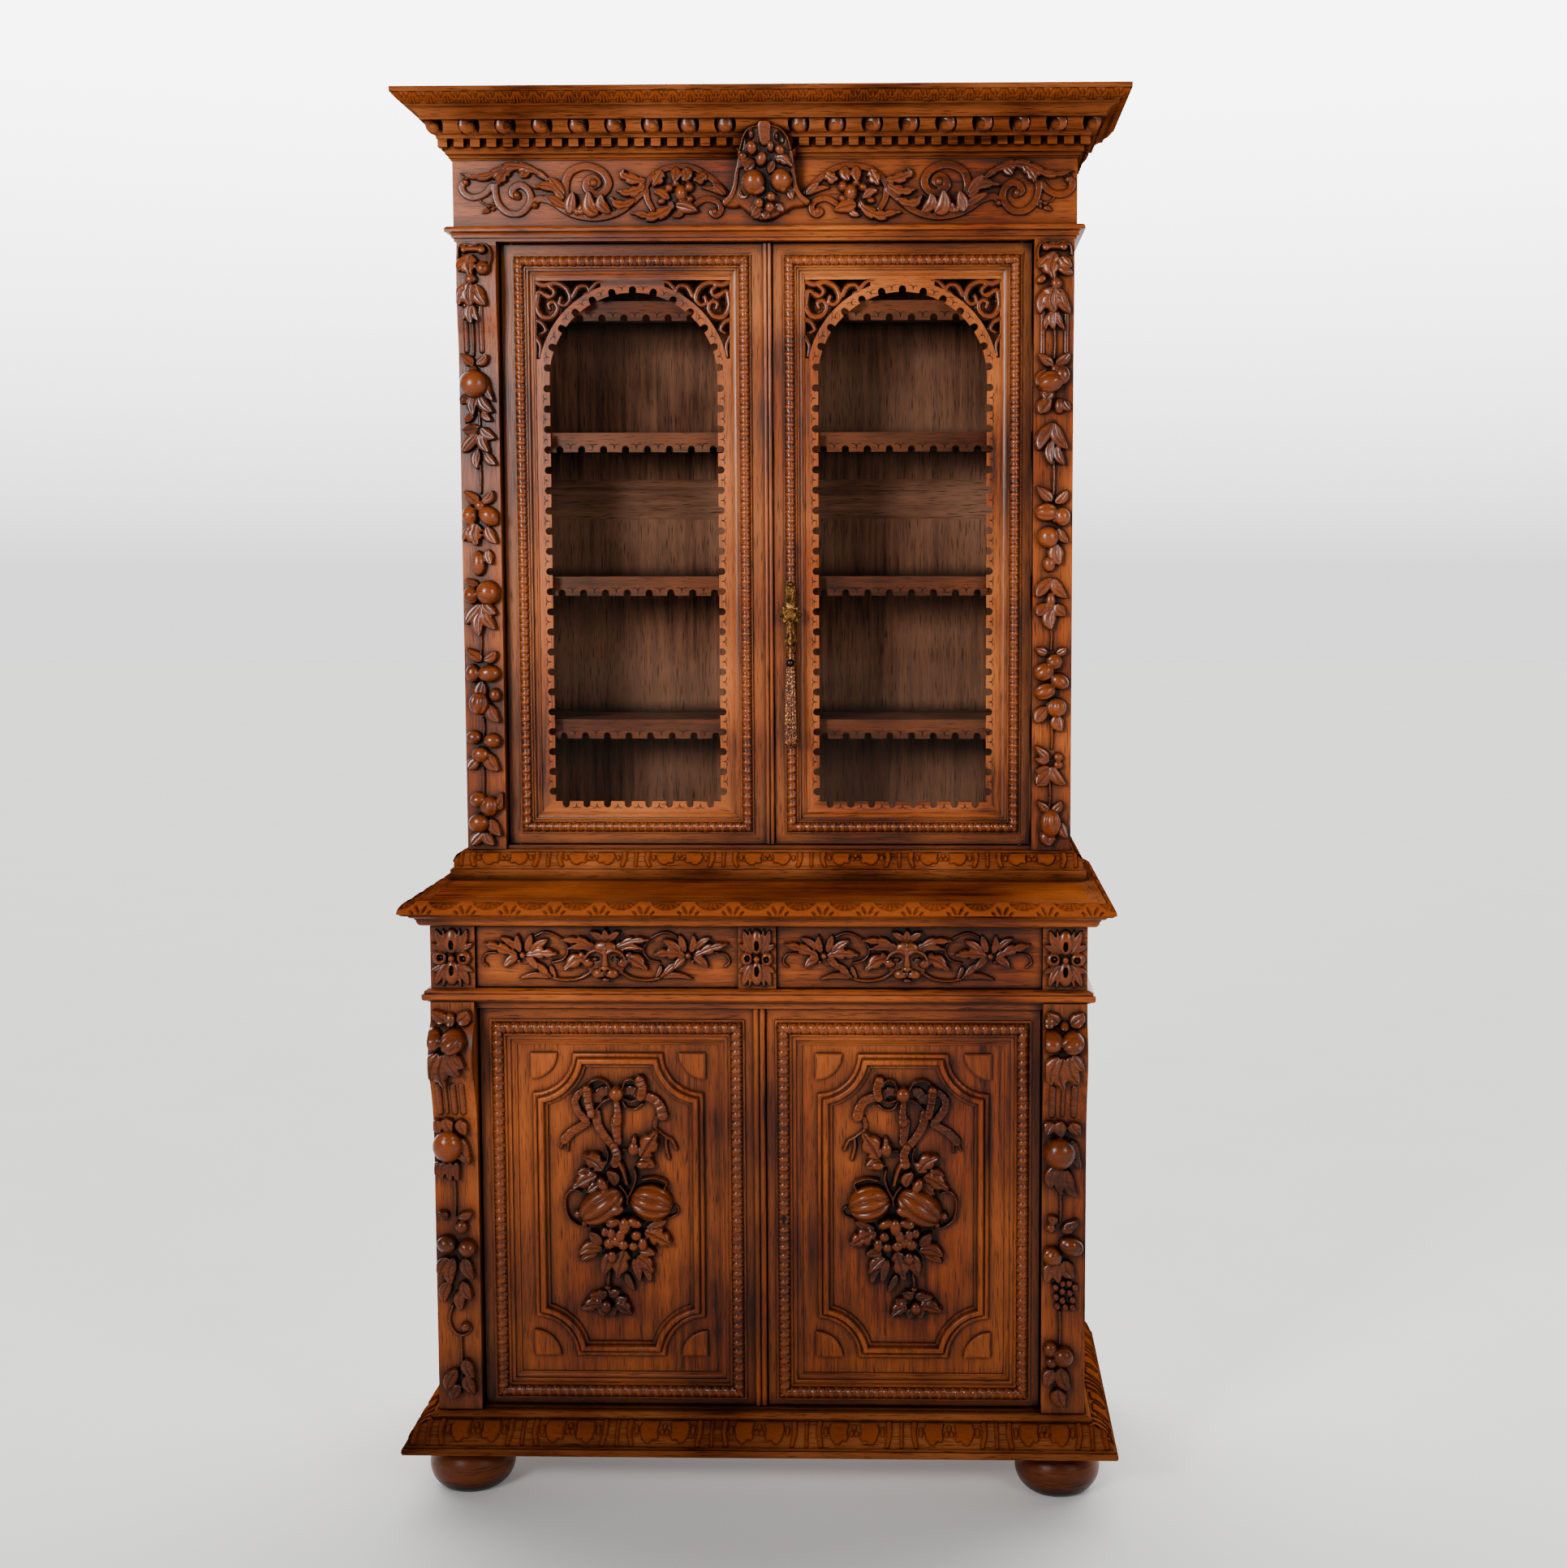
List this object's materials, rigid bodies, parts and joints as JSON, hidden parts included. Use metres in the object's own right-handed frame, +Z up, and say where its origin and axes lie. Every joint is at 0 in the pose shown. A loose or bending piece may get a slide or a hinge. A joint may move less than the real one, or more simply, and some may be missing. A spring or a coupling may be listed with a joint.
{
  "type": "two-part carved cabinet",
  "caption": "Tall carved oak cabinet: a glazed case with arched fretwork doors and shelves stands on a deeper cupboard with drawers, panelled doors and bun feet.",
  "frame": {"origin": "on the floor under the middle of the cabinet's box", "axes": "+Z up, front faces -Y, +X to the right seen from the front"},
  "size_m": [1.28, 0.556, 2.45],
  "materials": {
    "oak_carved": "carved oak, dark stained and waxed to a satin sheen",
    "oak_board": "planed oak, dark stained and waxed",
    "oak_inside": "planed oak, stained, without polish",
    "pane_glass": "clear drawn sheet glass",
    "cast_brass": "cast brass, aged",
    "lock_steel": "filed steel, dull",
    "tassel_thread": "twisted silk threads in gold, red and blue"
  },
  "bodies": {
    "carcass": {"architrave_moulding": "oak_carved", "bun_feet": "oak_carved", "cornice": "oak_carved", "counter_bed_moulding": "oak_carved", "counter_edging": "oak_carved", "counter_top": "oak_board", "door_pivots": "lock_steel", "drawer_blocks": "oak_carved", "drawer_guides": "oak_inside", "dust_board": "oak_inside", "frieze": "oak_carved", "frieze_cartouche": "oak_carved", "locating_dowels": "oak_inside", "lower_back": "oak_inside", "lower_floor_board": "oak_inside", "lower_pilasters": "oak_carved", "lower_plinth": "oak_carved", "lower_rails": "oak_board", "lower_shelf": "oak_inside", "lower_shelf_cleats": "oak_inside", "lower_sides": "oak_board", "shelf_lips": "oak_carved", "shelf_pins": "cast_brass", "upper_back": "oak_inside", "upper_floor_board": "oak_inside", "upper_pilasters": "oak_carved", "upper_plinth": "oak_carved", "upper_rails": "oak_board", "upper_shelves": "oak_board", "upper_sides": "oak_board", "upper_top_boards": "oak_board", "waist_moulding": "oak_carved"},
    "upper_left_door": {"upper_left_door_frame": "oak_carved", "upper_left_door_moulding": "oak_carved", "upper_left_door_fretwork": "oak_carved", "upper_left_door_glass": "pane_glass", "upper_astragal": "oak_carved"},
    "upper_right_door": {"upper_right_door_frame": "oak_carved", "upper_right_door_moulding": "oak_carved", "upper_right_door_fretwork": "oak_carved", "upper_right_door_glass": "pane_glass", "key_escutcheon": "cast_brass", "upper_lock_case": "lock_steel"},
    "upper_lock_bolt": {"upper_lock_bolt": "lock_steel"},
    "key": {"key": "cast_brass"},
    "tassel": {"tassel_cord": "tassel_thread", "tassel": "tassel_thread"},
    "lower_left_door": {"lower_left_door_frame": "oak_carved", "lower_left_door_moulding": "oak_carved", "lower_left_door_panel": "oak_carved", "lower_astragal": "oak_carved"},
    "lower_right_door": {"lower_right_door_frame": "oak_carved", "lower_right_door_moulding": "oak_carved", "lower_right_door_panel": "oak_carved", "lower_lock_case": "lock_steel"},
    "lower_lock_bolt": {"lower_lock_bolt": "lock_steel"},
    "left_drawer": {"left_drawer_front": "oak_carved", "left_drawer_box": "oak_inside"},
    "right_drawer": {"right_drawer_front": "oak_carved", "right_drawer_box": "oak_inside"}
  },
  "joints": [
    {"name": "upper_left_door_swing", "type": "hinge", "parent": "carcass", "child": "upper_left_door", "pos_m": [-0.4575, 0.04, 1.6585], "axis": [0, 0, -1], "range_deg": [0, 90]},
    {"name": "upper_right_door_swing", "type": "hinge", "parent": "carcass", "child": "upper_right_door", "pos_m": [0.4575, 0.04, 1.6585], "axis": [0, 0, 1], "range_deg": [0, 90]},
    {"name": "lower_left_door_swing", "type": "hinge", "parent": "carcass", "child": "lower_left_door", "pos_m": [-0.4665, -0.196, 0.51425], "axis": [0, 0, -1], "range_deg": [0, 90]},
    {"name": "lower_right_door_swing", "type": "hinge", "parent": "carcass", "child": "lower_right_door", "pos_m": [0.4665, -0.196, 0.51425], "axis": [0, 0, 1], "range_deg": [0, 90]},
    {"name": "left_drawer_slide", "type": "slide", "parent": "carcass", "child": "left_drawer", "axis": [0, -1, 0], "range_m": [0, 0.3]},
    {"name": "right_drawer_slide", "type": "slide", "parent": "carcass", "child": "right_drawer", "axis": [0, -1, 0], "range_m": [0, 0.3]},
    {"name": "key_turn", "type": "hinge", "parent": "upper_right_door", "child": "key", "pos_m": [0.042, 0.0095, 1.537], "axis": [0, 1, 0], "range_deg": [0, 90]},
    {"name": "upper_bolt_slide", "type": "slide", "parent": "upper_right_door", "child": "upper_lock_bolt", "axis": [-1, 0, 0], "range_m": [0, 0.01]},
    {"name": "tassel_swing", "type": "hinge", "parent": "key", "child": "tassel", "pos_m": [0.042, 0.0095, 1.537], "axis": [0, 1, 0], "range_deg": [-90, 0]},
    {"name": "lower_bolt_slide", "type": "slide", "parent": "lower_right_door", "child": "lower_lock_bolt", "axis": [-1, 0, 0], "range_m": [0, 0.01]}
  ],
  "couplings": [
    {"joint": "upper_bolt_slide", "follows": "key_turn", "m_per_rad": 0.006366},
    {"joint": "tassel_swing", "follows": "key_turn", "ratio": -1}
  ]
}
